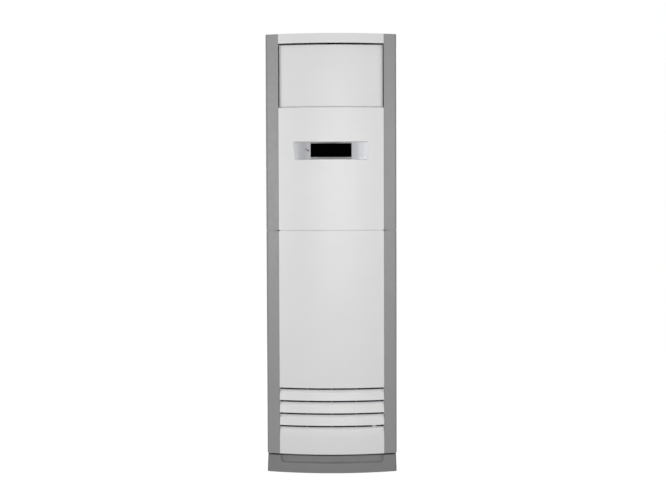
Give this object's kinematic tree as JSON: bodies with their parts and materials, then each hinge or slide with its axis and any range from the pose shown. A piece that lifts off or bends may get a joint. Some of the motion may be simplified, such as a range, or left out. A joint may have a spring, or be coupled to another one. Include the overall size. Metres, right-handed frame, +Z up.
{
  "type": "floor standing air conditioner",
  "caption": "Tall floor standing air conditioner: bowed front with a sliding outlet door, display band and hinged intake panel between grey columns, coil and fan inside.",
  "frame": {"origin": "on the floor, under the middle of the cabinet", "axes": "+Z up, -Y towards the front, +X to the right as seen from the front"},
  "size_m": [0.506, 0.315, 1.7],
  "materials": {
    "panel_white": "satin moulded ABS",
    "column_grey": "satin grey ABS",
    "plinth_grey": "fine-textured grey plastic",
    "bezel_silver": "silver metallic paint",
    "window_black": "polished dark acrylic",
    "cabinet_steel": "powder-coated sheet steel",
    "galvanised": "galvanised sheet",
    "screw_steel": "zinc plated",
    "shaft_steel": "ground steel",
    "rubber": "matt black rubber",
    "copper": "drawn copper",
    "brass": "turned brass",
    "fin_aluminium": "rolled foil",
    "inner_white": "moulded ABS",
    "pan_grey": "moulded polystyrene",
    "gear_plastic": "acetal",
    "motor_black": "enamelled steel",
    "scroll_plastic": "moulded polypropylene",
    "board_green": "solder mask on glass laminate",
    "terminal_plastic": "moulded nylon",
    "filter_plastic": "moulded polypropylene",
    "filter_net": "woven polypropylene net",
    "hose_plastic": "PVC hose",
    "lens_dark": "dark translucent plastic",
    "button_grey": "polished ABS"
  },
  "bodies": {
    "cabinet": {"base_plate": "galvanised", "plinth": "plinth_grey", "rubber_feet": "rubber", "left_side_panel": "cabinet_steel", "right_side_panel": "cabinet_steel", "back_panel": "cabinet_steel", "top_cover": "panel_white", "upper_columns": "column_grey", "upper_front_panel": "panel_white", "cross_beam": "galvanised", "hinge_brackets": "galvanised", "door_rails": "gear_plastic", "door_motor": "motor_black", "outlet_frame": "inner_white", "swing_motors": "motor_black", "fin_pack": "fin_aluminium", "coil_tubes": "copper", "coil_end_plates": "galvanised", "drain_pan": "pan_grey", "drain_hose": "hose_plastic", "gas_pipe": "copper", "liquid_pipe": "copper", "flare_unions": "brass", "volute_casing": "scroll_plastic", "volute_cover": "scroll_plastic", "fan_motor": "motor_black", "motor_bracket": "galvanised", "control_box": "galvanised", "control_board": "board_green", "terminal_block": "terminal_plastic", "control_box_cover": "galvanised", "display_bezel": "bezel_silver", "display_window": "window_black", "display_board": "board_green", "receiver_lens": "lens_dark", "pipe_grommet": "rubber", "cabinet_screws": "screw_steel"},
    "lower_panel": {"lower_front_panel": "panel_white", "lower_columns": "column_grey", "panel_hinge_arms": "galvanised"},
    "filter": {"filter_frame": "filter_plastic", "filter_mesh": "filter_net"},
    "fan": {"fan_wheel": "scroll_plastic", "motor_shaft": "shaft_steel", "wheel_nut": "screw_steel"},
    "door": {"outlet_door": "panel_white", "door_racks": "gear_plastic"},
    "pinion": {"door_pinion_shaft": "gear_plastic"},
    "button": {"manual_button": "button_grey"},
    "louver_link": {"louver_link": "gear_plastic"},
    "vane_link": {"vane_link": "gear_plastic"},
    "louver_1": {"louver_1": "inner_white"},
    "louver_2": {"louver_2": "inner_white"},
    "louver_3": {"louver_3": "inner_white"},
    "louver_4": {"louver_4": "inner_white"},
    "vane_1": {"vane_1": "inner_white"},
    "vane_2": {"vane_2": "inner_white"},
    "vane_3": {"vane_3": "inner_white"},
    "vane_4": {"vane_4": "inner_white"},
    "vane_5": {"vane_5": "inner_white"}
  },
  "joints": [
    {"name": "door_slide", "type": "slide", "parent": "cabinet", "child": "door", "axis": [0, 0, -1], "range_m": [0, 0.23]},
    {"name": "pinion_spin", "type": "hinge", "parent": "cabinet", "child": "pinion", "pos_m": [0, -0.09414, 1.412], "axis": [1, 0, 0], "range_deg": [-1, 1100]},
    {"name": "panel_hinge", "type": "hinge", "parent": "cabinet", "child": "lower_panel", "pos_m": [0, -0.118, 0.98], "axis": [-1, 0, 0], "range_deg": [0, 30]},
    {"name": "filter_slide", "type": "slide", "parent": "lower_panel", "child": "filter", "axis": [0, 0, 1], "range_m": [0, 0.2]},
    {"name": "fan_spin", "type": "hinge", "parent": "cabinet", "child": "fan", "pos_m": [0.02, 0, 0.3], "axis": [0, 1, 0], "continuous": true},
    {"name": "button_press", "type": "slide", "parent": "cabinet", "child": "button", "axis": [0, 1, 0], "range_m": [0, 0.0008], "stiffness_N_per_m": 400, "springref_m": -0.0005},
    {"name": "louver_2_tilt", "type": "hinge", "parent": "cabinet", "child": "louver_2", "pos_m": [0, -0.062, 1.51684], "axis": [1, 0, 0], "range_deg": [-40, 40]},
    {"name": "louver_1_tilt", "type": "hinge", "parent": "cabinet", "child": "louver_1", "pos_m": [0, -0.062, 1.45961], "axis": [1, 0, 0], "range_deg": [-40, 40]},
    {"name": "louver_3_tilt", "type": "hinge", "parent": "cabinet", "child": "louver_3", "pos_m": [0, -0.062, 1.57406], "axis": [1, 0, 0], "range_deg": [-40, 40]},
    {"name": "louver_4_tilt", "type": "hinge", "parent": "cabinet", "child": "louver_4", "pos_m": [0, -0.062, 1.63129], "axis": [1, 0, 0], "range_deg": [-40, 40]},
    {"name": "louver_link_pin", "type": "hinge", "parent": "louver_2", "child": "louver_link", "pos_m": [-0.19755, -0.048, 1.51684], "axis": [1, 0, 0], "range_deg": [-40, 40]},
    {"name": "vane_3_turn", "type": "hinge", "parent": "cabinet", "child": "vane_3", "pos_m": [0, -0.022, 1.544], "axis": [0, 0, 1], "range_deg": [-35, 35]},
    {"name": "vane_1_turn", "type": "hinge", "parent": "cabinet", "child": "vane_1", "pos_m": [-0.16, -0.022, 1.544], "axis": [0, 0, 1], "range_deg": [-35, 35]},
    {"name": "vane_2_turn", "type": "hinge", "parent": "cabinet", "child": "vane_2", "pos_m": [-0.08, -0.022, 1.544], "axis": [0, 0, 1], "range_deg": [-35, 35]},
    {"name": "vane_4_turn", "type": "hinge", "parent": "cabinet", "child": "vane_4", "pos_m": [0.08, -0.022, 1.544], "axis": [0, 0, 1], "range_deg": [-35, 35]},
    {"name": "vane_5_turn", "type": "hinge", "parent": "cabinet", "child": "vane_5", "pos_m": [0.16, -0.022, 1.544], "axis": [0, 0, 1], "range_deg": [-35, 35]},
    {"name": "vane_link_pin", "type": "hinge", "parent": "vane_3", "child": "vane_link", "pos_m": [0, -0.013, 1.433], "axis": [0, 0, 1], "range_deg": [-35, 35]}
  ],
  "couplings": [
    {"joint": "pinion_spin", "follows": "door_slide", "rad_per_m": 83.333},
    {"joint": "louver_1_tilt", "follows": "louver_2_tilt", "ratio": 1},
    {"joint": "louver_3_tilt", "follows": "louver_2_tilt", "ratio": 1},
    {"joint": "louver_4_tilt", "follows": "louver_2_tilt", "ratio": 1},
    {"joint": "louver_link_pin", "follows": "louver_2_tilt", "ratio": -1},
    {"joint": "vane_1_turn", "follows": "vane_3_turn", "ratio": 1},
    {"joint": "vane_2_turn", "follows": "vane_3_turn", "ratio": 1},
    {"joint": "vane_4_turn", "follows": "vane_3_turn", "ratio": 1},
    {"joint": "vane_5_turn", "follows": "vane_3_turn", "ratio": 1},
    {"joint": "vane_link_pin", "follows": "vane_3_turn", "ratio": -1}
  ]
}
